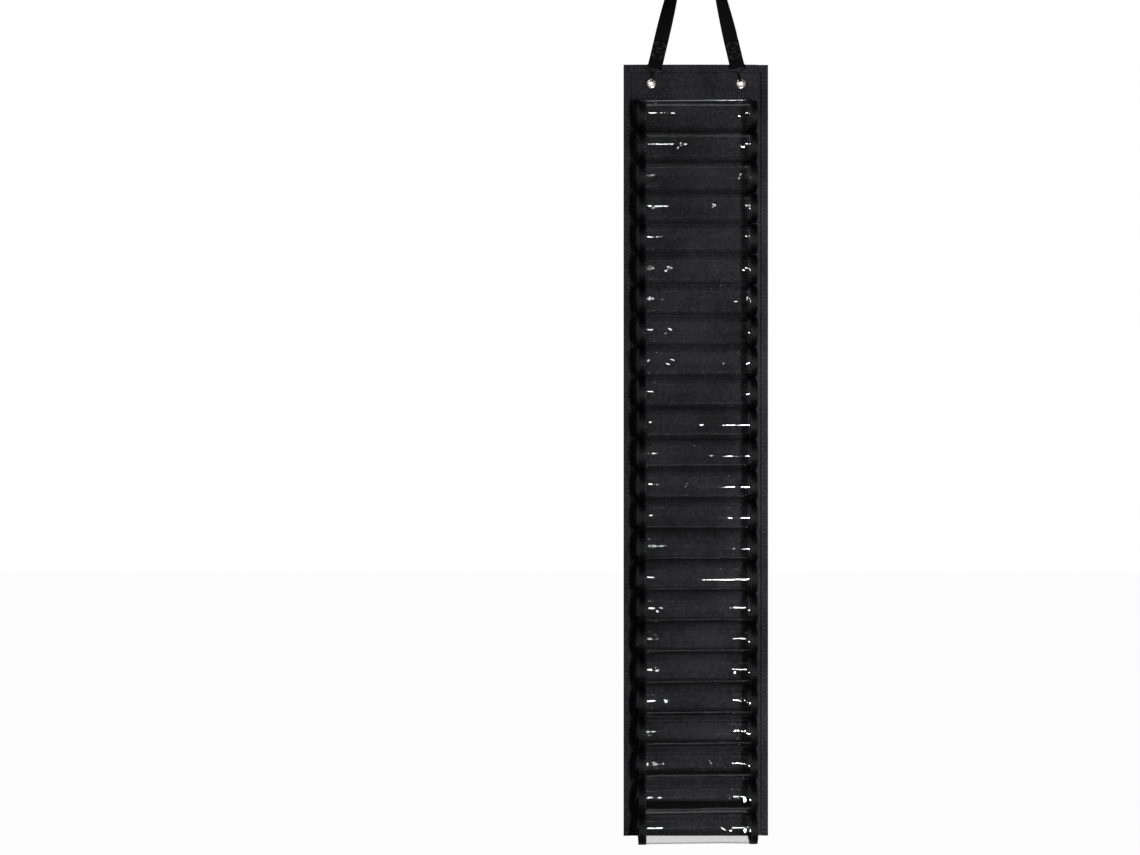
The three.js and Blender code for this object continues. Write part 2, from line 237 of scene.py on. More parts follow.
# Height of a plain weave: threads cross over and under in a checker of the given spacing.
def plainWeave(tree, place, spacing):
    scaled = addNode(tree, "VectorMath", {1: (1 / spacing,) * 3}, {0: place}, operation="MULTIPLY")
    parts = addNode(tree, "SeparateXYZ", links={0: scaled})
    over = addNode(tree, "TexChecker", {"Scale": 1}, {"Vector": scaled})
    return addNode(tree, "Mix", links={
        0: over.outputs["Fac"],
        2: threadWave(tree, parts.outputs["X"], 1),
        3: threadWave(tree, parts.outputs["Z"], 1),
    })


clothLook = {
    "stops": [(0.06, "#19191b"), (0.3, "#46464a")],
    "threadSpacing": 1.5,
    "cloudSize": 90,
    "fuzzSize": 4,
    # colour scale at the left and the right edge: painted light, brighter towards the right
    "paintedSideLight": (0.72, 1.2),
    "roughness": (0.7, 0.5),
    "bump": (0.9, 0.25),
}


# Polyester oxford, plain woven and dyed black. It reads as matt charcoal with a fine grain, and
# the raised threads catch a little light. Its colour is also scaled up towards the right: painted
# light, standing in for light that falls more strongly from the right.
def oxfordCloth(look):
    material, tree, surface = newMaterial("blackOxford", {"IOR": 1.5, "Specular IOR Level": 0.04})
    place = addNode(tree, "TexCoord").outputs["Object"]
    # Real threads stand 0.5 mm apart; they are drawn three times as coarse so that they show.
    weave = plainWeave(tree, place, look["threadSpacing"] * mm)
    cloud = addNode(tree, "TexNoise", {"Scale": 1 / (look["cloudSize"] * mm), "Detail": 3},
                    {"Vector": place})
    fuzz = addNode(tree, "TexNoise", {"Scale": 1 / (look["fuzzSize"] * mm), "Detail": 4},
                   {"Vector": place})
    grain = addNode(tree, "Math", links={0: fuzz, 1: weave}, operation="MULTIPLY")
    tone = addNode(tree, "Math", links={0: grain, 1: cloud}, operation="MULTIPLY")
    shade = addNode(tree, "ValToRGB", links={0: tone}, stops=look["stops"])
    # Painted light: the colour is scaled from the left edge to the right edge, standing in for light
    # that falls more strongly from the right.
    across = addNode(tree, "SeparateXYZ", links={0: place})
    paintedSideLight = addNode(tree, "MapRange", {
        "From Min": panelLow.x,
        "From Max": panelHigh.x,
        "To Min": look["paintedSideLight"][0],
        "To Max": look["paintedSideLight"][1],
    }, {"Value": across.outputs["X"]})
    colourWithPaintedLight = addNode(tree, "VectorMath", links={0: shade, "Scale": paintedSideLight}, operation="SCALE")
    linkSurface(tree, surface, look, fuzz, grain, colourWithPaintedLight)
    return material


webLook = {
    "stops": [(0, "#060505"), (1, "#100e0e")],
    "yarnSpacing": 2,
    "ribSpacing": 1.5,
    "roughness": (0.75, 0.55),
    "bump": (0.8, 0.35),
}


# Polypropylene webbing, woven in ribs across its width. It reads as near black with a dull
# shine on each rib.
def ribbedWebbing(look):
    material, tree, surface = newMaterial("blackWebbing", {"IOR": 1.49, "Specular IOR Level": 0.06})
    place = addNode(tree, "UVMap", uv_map="UVMap")
    parts = addNode(tree, "SeparateXYZ", links={0: place})
    yarns = threadWave(tree, parts.outputs["X"], look["yarnSpacing"] * mm)
    ribs = threadWave(tree, parts.outputs["Y"], look["ribSpacing"] * mm)
    relief = addNode(tree, "Math", links={0: yarns, 1: ribs}, operation="MULTIPLY")
    shade = addNode(tree, "ValToRGB", links={0: relief}, stops=look["stops"])
    linkSurface(tree, surface, look, relief, relief, shade)
    return material


tapeLook = {
    "stops": [(0, "#040405"), (1, "#0a0a0b")],
    "ribSpacing": 1.2,
    "fuzzSize": 3,
    "roughness": (0.5, 0.36),
    "bump": (0.6, 0.2),
}


# Polyester binding tape, folded over the vinyl's edge. Fine ribs run across it, and it reads as
# smoother and a little shinier than the cloth.
def bindingTape(look):
    material, tree, surface = newMaterial("blackBinding", {"IOR": 1.5, "Specular IOR Level": 0.07})
    place = addNode(tree, "UVMap", uv_map="UVMap")
    parts = addNode(tree, "SeparateXYZ", links={0: place})
    ribs = threadWave(tree, parts.outputs["Y"], look["ribSpacing"] * mm)
    fuzz = addNode(tree, "TexNoise", {"Scale": 1 / (look["fuzzSize"] * mm), "Detail": 3},
                   {"Vector": place})
    tone = addNode(tree, "Math", links={0: ribs, 1: fuzz}, operation="MULTIPLY")
    shade = addNode(tree, "ValToRGB", links={0: tone}, stops=look["stops"])
    linkSurface(tree, surface, look, tone, ribs, shade)
    return material


vinylLook = {
    "tint": "#f8f8f8",
    "haze": "#e9ebec",
    "ior": 1.5,
    "roughness": (0.02, 0.06),
    "creaseSize": 9,
    "bump": (0.025, 0.5),
}


# Soft clear PVC film, calendered smooth. It passes nearly all light straight through, less so
# where it is seen on the slant, and it shows mostly as thin glints. Its finest creases are a bump.
# Where it is folded hard or cut, it turns a little milky.
def clearVinyl(name, milky):
    look = vinylLook
    material, tree, surface = newMaterial(name, {})
    tree.nodes.remove(surface)
    place = addNode(tree, "TexCoord").outputs["Object"]
    crease = addNode(tree, "TexNoise",
                     {"Scale": 1 / (look["creaseSize"] * mm), "Detail": 3, "Distortion": 0.6},
                     {"Vector": place})
    rough, bump = wornSurface(tree, look, crease, crease)
    # The film bends no view, so both of its faces mirror as its outer face does.
    side = addNode(tree, "NewGeometry")
    ior = addNode(tree, "MapRange", {"To Min": look["ior"], "To Max": 1 / look["ior"]},
                  {"Value": side.outputs["Backfacing"]})
    rim = addNode(tree, "Fresnel", links={"IOR": ior, "Normal": bump})
    clear = addNode(tree, "BsdfTransparent", {"Color": hexColour(look["tint"])})
    shine = addNode(tree, "BsdfAnisotropic", links={"Roughness": rough, "Normal": bump})
    film = addNode(tree, "MixShader", links={0: rim, 1: clear, 2: shine})
    haze = addNode(tree, "BsdfDiffuse", {"Color": hexColour(look["haze"])})
    mix = addNode(tree, "MixShader", {0: milky}, {1: film, 2: haze})
    tree.links.new(mix.outputs[0], tree.nodes["Material Output"].inputs["Surface"])
    return material


wireLook = {"colour": "#222120", "roughness": (0.14, 0.26), "bump": (0.1, 0.03)}
eyeletLook = {"colour": "#9b9893", "roughness": (0.22, 0.34), "bump": (0.1, 0.03)}
# painted shade: a dull, near-black nickel for the inside of the eyelets' bore
boreShadeLook = {"colour": "#1b1a19", "roughness": (0.5, 0.65), "bump": (0.1, 0.03)}
scuffSize = 1.5


# Nickel plate on steel, tumbled, with faint scuffs. The pressed eyelets are bright white nickel;
# the wall inside the barrel gets a dull, near-black copy of it, which is painted shade in the bore.
# The wire is the smoked kind, which shows mostly as glints.
def nickelPlate(name, look):
    material, tree, surface = newMaterial(name, {
        "Base Color": hexColour(look["colour"]),
        "Metallic": 1,
    })
    place = addNode(tree, "TexCoord").outputs["Object"]
    scuff = addNode(tree, "TexNoise", {"Scale": 1 / (scuffSize * mm), "Detail": 5}, {"Vector": place})
    linkSurface(tree, surface, look, scuff, scuff)
    return material


steelLook = {
    "colour": "#b4b7ba",
    "lineWidth": 0.35,
    "lineLength": 14,
    "roughness": (0.24, 0.46),
    "bump": (0.25, 0.05),
}


# Zinc-plated steel strip, rolled and bent cold: grey metal with fine lines along the strip.
def brushedSteel(look):
    material, tree, surface = newMaterial("brushedSteel", {
        "Base Color": hexColour(look["colour"]),
        "Metallic": 1,
    })
    place = addNode(tree, "TexCoord").outputs["Object"]
    along = 1 / (look["lineLength"] * mm)
    lines = addNode(tree, "Mapping", {"Scale": (1 / (look["lineWidth"] * mm), along, along)},
                    {"Vector": place})
    grain = addNode(tree, "TexNoise", {"Scale": 1, "Detail": 4}, {"Vector": lines})
    linkSurface(tree, surface, look, grain, grain)
    return material


yarnLook = {"twistSize": 0.8, "roughness": (0.6, 0.35), "bump": (0.4, 0.1)}


# Bonded polyester yarn. As sewing thread its twist makes it shinier than the cloth, and its pale
# grey is partly painted sheen, standing in for the light that the black thread catches. The matt,
# nearly black copy is painted shade, laid in the needle holes.
def spunYarn(name, low, high, shine):
    material, tree, surface = newMaterial(name, {"IOR": 1.53, "Specular IOR Level": shine})
    place = addNode(tree, "TexCoord").outputs["Object"]
    twist = addNode(tree, "TexNoise", {"Scale": 1 / (yarnLook["twistSize"] * mm), "Detail": 2},
                    {"Vector": place})
    shade = addNode(tree, "ValToRGB", links={0: twist}, stops=[(0, low), (1, high)])
    linkSurface(tree, surface, yarnLook, twist, twist, shade)
    return material


cloth = oxfordCloth(clothLook)
webbing = ribbedWebbing(webLook)
binding = bindingTape(tapeLook)
vinyl = clearVinyl("clearVinyl", 0.001)
foldedVinyl = clearVinyl("foldedVinyl", 0.35)
cutVinyl = clearVinyl("cutVinyl", 0.75)
wireNickel = nickelPlate("smokedNickel", wireLook)
eyeletNickel = nickelPlate("brightNickel", eyeletLook)
boreShadeNickel = nickelPlate("nickelPaintedBoreShade", boreShadeLook)
steel = brushedSteel(steelLook)
# the thread's pale grey is partly painted sheen
thread = spunYarn("sewingThreadPaintedSheen", "#2a2a2c", "#58585c", 0.4)
# painted shade: a near-black matt yarn for the beads laid in each needle hole
holeShadeYarn = spunYarn("paintedNeedleHoleShade", "#020202", "#060606", 0)
print("materials made")


# Over-door hook

steelHook = {
    "width": 25,
    "thickness": 1.5,
    "doorThickness": 45,
    "bend": 2.5,
    "backLegDrop": 35,
    "cradleRadius": 14,
    "cradleLip": 11,
    "edgeRound": 0.35,
}


# The strip runs up its back leg, over the top, down the front leg and round into the cradle.
def makeSteelHook():
    s = inMetres(steelHook)
    legY = (s["doorThickness"] + s["thickness"]) / 2
    bendZ = s["thickness"] / 2 - s["bend"]
    radius = s["cradleRadius"] + s["thickness"] / 2
    middle = [(legY, -s["backLegDrop"])]
    middle += arcPoints((legY - s["bend"], bendZ), s["bend"], 0, math.pi / 2, 8)
    middle += arcPoints((s["bend"] - legY, bendZ), s["bend"], math.pi / 2, math.pi, 8)
    middle += arcPoints((hangY, cradleAt.z), radius, 0, -math.pi, 40)
    middle.append((hangY - radius, cradleAt.z + s["cradleLip"]))
    rings = []
    for i, (y, z) in enumerate(middle):
        before = middle[max(i - 1, 0)]
        after = middle[min(i + 1, len(middle) - 1)]
        along = Vector((0, after[0] - before[0], after[1] - before[1])).normalized()
        side = Vector((0, -along.z, along.y)) * s["thickness"] / 2
        at = Vector((0, y, z))
        half = Vector((s["width"] / 2, 0, 0))
        rings.append([at + side - half, at + side + half, at - side + half, at - side - half])
    points, faces = skinRings(rings)
    piece = newPiece("over_door_strip", points, faces, steel, "door_hook", smooth=False)
    bevel = piece.modifiers.new("rolled edges", "BEVEL")
    bevel.width = s["edgeRound"]
    bevel.segments = 3
    bevel.limit_method = "ANGLE"
    bevel.angle_limit = math.radians(40)
    shadeByAngle(piece)
    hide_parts("over_door_hook")


makeSteelHook()
print("over-door hook made")


# Stitching. Each stitch is a short rounded bead of thread that lies on the cloth.

stitch = {
    "length": 5,
    "gap": 1.9,
    "width": 0.8,
    "height": 0.5,
    "spread": (0.92, 1.04),
    "endShare": 0.15,
    "sides": 6,
    "rings": 4,
}
# a flat near-black bead laid in each needle hole as painted shade
needleHole = {"length": 2.1, "width": 1.9, "height": 0.5}
stitchPitch = (stitch["length"] + stitch["gap"]) * mm


# Adds the stitches along a line. way(t) gives the point and the outward normal at a distance t
# in metres from the line's start.
def addStitches(beads, way, run):
    count = int(run / stitchPitch)
    for i in range(count):
        t = (i + 0.5) * run / count
        half = stitch["length"] * mm / 2 * random.uniform(*stitch["spread"])
        start, normal = way(t - half)
        beads.append((start, way(t + half)[0], normal))


def sewBeads(name, beads, body, size=stitch, material=thread):
    points = []
    faces = []
    thin = stitch["endShare"]
    for start, end, normal in beads:
        across = (end - start).normalized().cross(normal).normalized()
        rings = []
        for share in [0] + shares(stitch["rings"]):
            swell = math.sqrt(max(1 - (2 * share - 1) ** 2, 0)) * (1 - thin) + thin
            circle = arcPoints((0, 0), swell * mm / 2, 0, 2 * math.pi, stitch["sides"])[:-1]
            middle = start.lerp(end, share)
            rings.append([middle + across * (a * size["width"]) + normal * (b * size["height"])
                          for a, b in circle])
        newPoints, newFaces = skinRings(rings, len(points))
        points += newPoints
        faces += newFaces
    return newPiece(name, points, faces, material, body)


# Webbing strap

strap = {
    "width": 24,
    "thickness": 1.4,
    "cupRadius": 13,
    "cupRun": 20,
    "bend": 3,
    "foldLength": 43,
    "foldGap": 0.3,
    "foldRun": 12,
    "loopRadius": 2.3,
    "stitchInset": 3,
    "stitchClear": 2,
}
ribbon = {"steps": 12, "edgeInsetShare": 0.35, "edgeThinShare": 0.72}
# places round the ribbon's cross-section, as (share of the width, face)
ribbonPlaces = [(share, 1) for share in [0] + shares(ribbon["steps"])] + [(1, 0)]
ribbonPlaces += [(1 - share, -face) for share, face in ribbonPlaces]


# The strap's middle line from the cradle's centre to the end of the right-hand sewn end. Each
# station has its middle, width direction, normal and cup, as in the model.
def strapStations():
    s = inMetres(strap)
    cup = 1 / s["cupRadius"]
    lowZ = cradleAt.z - s["cupRadius"]
    bendAt = Vector((steelHook["width"] / 2 * mm, hangY, lowZ - s["bend"]))
    stations = [(Vector((bendAt.x * share, hangY, lowZ)), backward, upward, cup)
                for share in [0] + shares(6)]
    for share in shares(8):
        turn = (math.pi / 2 - legTilt) * share
        normal = Vector((math.sin(turn), 0, math.cos(turn)))
        stations.append((bendAt + normal * s["bend"], backward, normal, cup * (1 - share / 2)))
    legStart = bendAt + legOut * s["bend"]
    legLength = (barAt - legStart).length - s["foldLength"] - s["foldRun"]
    for share in shares(60):
        along = legLength * share
        twist = math.pi / 2 * share
        wide = backward * math.cos(twist) + legOut * math.sin(twist)
        normal = legOut * math.cos(twist) - backward * math.sin(twist)
        left = max(1 - along / s["cupRun"], 0) * cup / 2
        stations.append((legStart + legDown * along, wide, normal, left))
    # the sewn end, as (down the leg from the wire, backward): out to the front, round and back up
    layer = (s["thickness"] + s["foldGap"]) / 2
    radius = s["loopRadius"]
    flat = s["foldLength"] - s["foldRun"]
    fold = [(-s["foldLength"] - s["foldRun"], 0)]
    fold += [(-s["foldLength"] - s["foldRun"] * (1 - t), layer * ease(t)) for t in shares(8)]
    fold += [(flat * t - s["foldLength"], layer) for t in shares(6)]
    fold += [(-s["foldRun"] * (1 - t), layer + (radius - layer) * ease(t)) for t in shares(6)]
    fold += arcPoints((0, 0), radius, math.pi / 2, -math.pi / 2, 18)[1:]
    fold += [(-s["foldRun"] * t, (radius - layer) * ease(t) - radius) for t in shares(6)]
    fold += [(-s["foldRun"] - flat * t, -layer) for t in shares(8)]
    for i in range(1, len(fold)):
        before = fold[i - 1]
        after = fold[min(i + 1, len(fold) - 1)]
        run = legDown * (after[0] - before[0]) + backward * (after[1] - before[1])
        middle = barAt + legDown * fold[i][0] + backward * fold[i][1]
        stations.append((middle, legOut, run.normalized().cross(legOut), 0))
    return stations


# A ribbon's cross-section at one station, with rounded edges.
def ribbonRing(middle, wide, normal, cup, width, thickness):
    thin = ribbon["edgeThinShare"]
    ring = []
    for share, face in ribbonPlaces:
        along = (share - 0.5) * (width - abs(face) * thickness * ribbon["edgeInsetShare"])
        angle = along * cup
        sideways = math.sin(angle) / cup if cup else along
        rise = (1 - math.cos(angle)) / cup if cup else 0
        full = ease(min(share, 1 - share) * ribbon["steps"])
        half = face * thickness / 2 * (thin + (1 - thin) * full)
        out = wide * (sideways - half * math.sin(angle)) + normal * (rise + half * math.cos(angle))
        ring.append(middle + out)
    return ring


def makeStrap():
    width = strap["width"] * mm
    thickness = strap["thickness"] * mm
    right = strapStations()
    left = [(m * mirror, w * mirror, n * mirror, cup) for m, w, n, cup in right[1:]]
    stations = left[::-1] + right
    rings = []
    uvs = []
    along = 0
    for i, (middle, wide, normal, cup) in enumerate(stations):
        if i:
            along += (middle - stations[i - 1][0]).length
        rings.append(ribbonRing(middle, wide, normal, cup, width, thickness))
        uvs += [(share * width, along) for share, face in ribbonPlaces]
    points, faces = skinRings(rings)
    piece = newPiece("webbing_strap", points, faces, webbing, "strap", uvs=uvs)
    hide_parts("hanging_strap")


# A box of stitches with a cross through it holds the two layers of each sewn end.
def sewStrapEnds():
    s = inMetres(strap)
    beads = []
    half = s["width"] / 2 - s["stitchInset"]
    low = s["foldRun"] + s["stitchClear"]
    high = s["foldLength"] - s["stitchInset"]
    lift = s["foldGap"] / 2 + s["thickness"]
    corners = [barAt - legDown * down + legOut * x - backward * lift
               for x, down in ((-half, low), (half, low), (half, high), (-half, high))]
    lines = [(0, 1), (1, 2), (2, 3), (3, 0), (0, 2), (1, 3)]
    for flip in (mirror, Vector((1, 1, 1))):
        for a, b in lines:
            start = corners[a] * flip
            end = corners[b] * flip
            run = (end - start).length
            addStitches(beads, lambda t: (start.lerp(end, t / run), forward), run)
    sewBeads("strap_stitching", beads, "strap")


makeStrap()
sewStrapEnds()
print("strap made")


# Wire hooks

wireHook = {
    "diameter": 2,
    "pitch": 2.6,
    "armReach": 13.6,
    "split": 0.4,
    "yokeDrop": 5,
    "yokeHeight": 10,
    "yokeRound": 2.2,
    "yokeFlare": 3,
    "turnDrop": 24.6,
    "prongLength": 7,
}


# Points along a line through corners, each rounded to its own radius.
def roundedLine(corners, steps):
    line = [corners[0][0]]
    for i in range(1, len(corners) - 1):
        at, radius = corners[i]
        before = (at - corners[i - 1][0]).normalized()
        after = (corners[i + 1][0] - at).normalized()
        turn = before.angle(after)
        start = at - before * radius * math.tan(turn / 2)
        inward = (after - before * before.dot(after)).normalized()
        centre = start + inward * radius
        for k in range(steps + 1):
            angle = turn * k / steps
            line.append(centre - inward * radius * math.cos(angle) + before * radius * math.sin(angle))
    line.append(corners[-1][0])
    return line


def hookLine():
    w = inMetres(wireHook)
    bend = (eyeletLow.y + eyeletHigh.y) / 2 - hangY
    stem = w["pitch"] / 2
    tip = -w["turnDrop"] + bend + w["prongLength"] + stem
    half = [
        (Vector((w["split"] / 2, 0, 0)), 0),
        (Vector((w["armReach"], 0, 0)), w["yokeRound"]),
        (Vector((w["armReach"], 0, -w["yokeDrop"])), w["yokeRound"]),
        (Vector((stem, 0, -w["yokeHeight"])), w["yokeFlare"]),
        (Vector((stem, 0, -w["turnDrop"])), bend),
        (Vector((stem, 2 * bend, -w["turnDrop"])), bend),
        (Vector((stem, 2 * bend, tip)), stem),
    ]
    return roundedLine(half + [(at * mirror, radius) for at, radius in half[::-1]], 10)


def makeWireHook(side, sign):
    line = []
    for point in hookLine():
        x = sign * point.x
        out = barAt.x + x * math.cos(legTilt) - point.z * math.sin(legTilt)
        height = barAt.z + x * math.sin(legTilt) + point.z * math.cos(legTilt)
        line.append((sign * out, barAt.y + point.y, height, 1))
    curve = bpy.data.curves.new("hook_wire_" + side, "CURVE")
    curve.dimensions = "3D"
    curve.bevel_depth = wireHook["diameter"] / 2 * mm
    curve.bevel_resolution = 5
    curve.use_fill_caps = True
    spline = curve.splines.new("POLY")
    spline.points.add(len(line) - 1)
    for point, at in zip(spline.points, line):
        point.co = at
    spline.use_smooth = True
    curve.materials.append(wireNickel)
    piece = addObject("hook_wire_" + side, curve)
    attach(piece, "hook_" + side)
    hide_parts("wire_hook_" + side)


makeWireHook("left", -1)
makeWireHook("right", 1)
print("wire hooks made")


# Eyelets and washers, pressed from nickel-plated sheet

eyelet = {
    "bore": 8.8,
    "rim": 16.5,
    "wall": 0.6,
    "dome": 0.9,
    "domeStart": 1.2,
    "roll": 1,
    "rollDepth": 0.6,
    "rollRound": 0.1,
    "boreRound": 0.25,
    "edgeRound": 0.3,
    "edgeTurn": 0.02,
    "washerGap": 0.3,
    "washerInset": 0.4,
}
# where the bore's wall rolls into the dome: out from the bore, and back from the front
boreLip = [(0, 0.9), (0.3, 0.5), (0.9, 0.14)]
domeShares = {"crown": 0.93, "drop": 0.85, "power": 1.3}
segments = 56


# Turns a closed profile of (radius, y) points about the eyelet's axis.
def turnRing(name, profile, sign, node, paintedShadeRows=0):
    points = []
    faces = []
    count = len(profile)
    for i in range(segments):
        angle = 2 * math.pi * i / segments
        x = math.cos(angle)
        z = math.sin(angle)
        points += [(sign * eyeletAt.x + r * x, y, eyeletAt.z + r * z) for r, y in profile]
        a = i * count
        b = (i + 1) % segments * count
        for j in range(count):
            k = (j + 1) % count
            faces.append((a + j, a + k, b + k, b + j))
    piece = newPiece(name, points, faces, eyeletNickel, "panel")
    # the wall and the rolled lip of the bore get a dull, near-black nickel: painted shade inside the
    # bore
    piece.data.materials.append(boreShadeNickel)
    for number, polygon in enumerate(piece.data.polygons):
        polygon.material_index = 1 if number % count < paintedShadeRows else 0
    faceOutward(piece)
    shadeByAngle(piece)
    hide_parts(node)


def makeEyelet(side, sign):
    e = inMetres(eyelet)
    bore = e["bore"] / 2
    rim = e["rim"] / 2
    front = eyeletLow.y
    back = eyeletHigh.y
    flangeBack = front + e["dome"]
    crown = (rim + bore) / 2 * domeShares["crown"]
    profile = [(bore + e["boreRound"], back), (bore, back - e["edgeRound"])]
    profile += [(bore + out * mm, front + down * mm) for out, down in boreLip]
    for share in [0] + shares(8):
        radius = bore + e["domeStart"] + (rim - bore - e["domeStart"]) * share
        drop = ease((radius - crown) / (rim - crown)) ** domeShares["power"]
        profile.append((radius, front + e["dome"] * domeShares["drop"] * drop))
    profile += [(rim, flangeBack - e["edgeTurn"]), (rim - e["edgeRound"], flangeBack)]
    barrel = bore + e["wall"]
    rolled = barrel + e["roll"]
    profile += [(barrel, flangeBack), (barrel, back - e["rollDepth"])]
    profile += [(rolled, back - e["rollDepth"]), (rolled, back - e["rollRound"])]
    turnRing("eyelet_ring_" + side, profile, sign, "eyelet_" + side, 4)
    low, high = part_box("eyelet_washer_" + side)
    inner = barrel + e["washerGap"]
    flat = [(inner, low.y), (inner, high.y), (rim - e["washerInset"], high.y)]
    flat += [(rim, high.y - e["edgeRound"]), (rim, low.y)]
    turnRing("washer_ring_" + side, flat, sign, "eyelet_washer_" + side)


makeEyelet("left", -1)
makeEyelet("right", 1)
print("eyelets made")


# Cloth panel

panel = {
    "cloth": 1.4,
    "hemRaise": 1,
    "hemGroove": 1.1,
    "hemWidth": 11.5,
    "sideStitch": 6.6,
    "topStitch": 7.6,
    "lowStitch": 5.3,
    "upperRow": 52.4,
    "upperRowHalf": 96,
    "seamRowHalf": 95,
    "rowInset": 3,
    "threadLift": 0.08,
    "holeLift": 0.5,
    "grooveHalf": 1.3,
    "grooveDepth": 0.2,
    "needleDent": 0.5,
    "flapDrop": 61.5,
    "flapRaise": 0.25,
    "wave": 0.35,
    "grain": 0.12,
    "strapPress": 0.5,
    "pressHalf": 22,
    "pressHalfFade": 6,
    "pressDrop": 14,
    "pressDropFade": 3,
    "curlFrom": 94,
    "curlTo": 108,
    "curlLeft": 0.6,
    "curlRight": 2.2,
    "fineStep": 0.9,
    "coarseStep": 3.45,
    "eyeletClear": 12,
}
# waves and grains in a metre, across and down
wavesPerMetre = (16, 9)
grainsPerMetre = (260, 90)
clothFront = panelHigh.y - panel["cloth"] * mm


# Places along one side of the panel: fine beside each fold and stitch line, coarse between them.
def gridPlaces(low, high, lines):
    fine = panel["fineStep"] * mm
    count = round((high - low) / (panel["coarseStep"] * mm))
    places = [low + (high - low) * share for share in shares(count)]
    places += [line + k * fine for line in lines for k in range(-3, 4)]
    kept = [low]
    for place in sorted(places):
        if place <= high and place - kept[-1] > fine * 0.6:
            kept.append(place)
    kept[-1] = high
    return kept


# How far the panel's front stands out at a place: hems, the top flap, stitch lines and slack.
def panelRelief(x, z):
    p = inMetres(panel)
    fromSide = panelHigh.x - abs(x)
    fromTop = panelHigh.z - z
    fromEnd = min(fromSide, fromTop)
    hem = ease((p["hemWidth"] - fromEnd) / p["fineStep"] + 0.5)
    gap = ease(1 - abs(fromEnd - p["hemWidth"] - p["fineStep"]) / (1.2 * p["fineStep"]))
    flap = ease((p["flapDrop"] - fromTop) / p["fineStep"] + 0.5)
    relief = hem * p["hemRaise"] - gap * p["hemGroove"] + (1 - hem) * flap * p["flapRaise"]
    for distance, along in ((fromSide - p["sideStitch"], fromTop), (fromTop - p["topStitch"], x)):
        groove = ease(1 - abs(distance) / p["grooveHalf"])
        hole = max(math.cos(2 * math.pi * along / stitchPitch), 0) ** 2
        relief -= (p["grooveDepth"] + p["needleDent"] * hole) * groove
    across, down = grainsPerMetre
    seen = min(fromEnd / p["hemWidth"], 1)
    relief += p["grain"] * noise.noise(Vector((x * across, 1.7, z * down))) * seen
    fromEyelet = math.hypot(abs(x) - eyeletAt.x, z - eyeletAt.z)
    fade = ease(fromEyelet / p["eyeletClear"] - 0.7)
    # the hem is pressed flat behind the strap's ends, so that they clear it as the panel swings
    behind = ease((p["pressHalf"] - abs(abs(x) - barAt.x)) / p["pressHalfFade"])
    behind *= ease((p["pressDrop"] - fromTop) / p["pressDropFade"])
    across, down = wavesPerMetre
    wave = noise.noise(Vector((x * across, 5.1, z * down)))
    return relief + p["wave"] * wave * fade * (1 - behind) - p["strapPress"] * behind * hem


# How far the panel's side edges step back, beside the bindings.
def edgeCurl(x):
    share = (abs(x) / mm - panel["curlFrom"]) / (panel["curlTo"] - panel["curlFrom"])
    return (panel["curlLeft"] if x < 0 else panel["curlRight"]) * mm * ease(share)


def panelFront(x, z):
    return clothFront + edgeCurl(x) - panelRelief(x, z)


def panelBack(x, z):
    return panelHigh.y + edgeCurl(x)


def makePanel():
    sides = [panelHigh.x - panel[name] * mm for name in ("hemWidth", "sideStitch")]
    columns = gridPlaces(panelLow.x, panelHigh.x, sides + [-x for x in sides])
    rows = gridPlaces(panelLow.z, panelHigh.z, [
        panelHigh.z - panel[name] * mm for name in ("hemWidth", "topStitch", "flapDrop")
    ])
    points = [(x, face(x, z), z) for face in (panelFront, panelBack) for x in columns for z in rows]
    tall = len(rows)
    last = (len(columns) - 1) * tall
    behind = last + tall
    faces = []
    for a in range(last):
        if (a + 1) % tall:
            faces.append((a, a + tall, a + tall + 1, a + 1))
            faces.append((behind + a, behind + a + 1, behind + a + tall + 1, behind + a + tall))
    edges = []
    for a in range(0, last, tall):
        edges += [(a, a + tall), (a + 2 * tall - 1, a + tall - 1)]
    for a in range(tall - 1):
        edges += [(a + 1, a), (last + a, last + a + 1)]
    faces += [(a, behind + a, behind + b, b) for a, b in edges]
    piece = newPiece("cloth_panel", points, faces, cloth, "panel")
    cutEyeletHoles(piece)
    shadeByAngle(piece)
    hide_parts("backing_panel")


def cutEyeletHoles(piece):
    for sign in (-1, 1):
        bpy.ops.mesh.primitive_cylinder_add(
            vertices=40,
            radius=(eyelet["bore"] / 2 + eyelet["wall"] + 0.2) * mm,
            depth=20 * mm,
            location=(sign * eyeletAt.x, panelHigh.y, eyeletAt.z),
            rotation=(math.pi / 2, 0, 0),
        )
        punch = bpy.context.object
        cut = piece.modifiers.new("punched hole", "BOOLEAN")
        cut.object = punch
        cut.solver = "EXACT"
        bpy.context.view_layer.objects.active = piece
        bpy.ops.object.modifier_apply(modifier=cut.name)
        bpy.data.objects.remove(punch)


# Sews a straight row between two (x, z) places on one face of the panel. Gives back the row's way
# and its run.
def sewRow(beads, start, end, face, out):
    start = Vector((start[0], 0, start[1]))
    end = Vector((end[0], 0, end[1]))
    run = (end - start).length

    def way(t):
        at = start.lerp(end, t / run)
        return Vector((at.x, face(at.x, at.z) + out.y * panel["threadLift"] * mm, at.z)), out

    addStitches(beads, way, run)
    return way, run
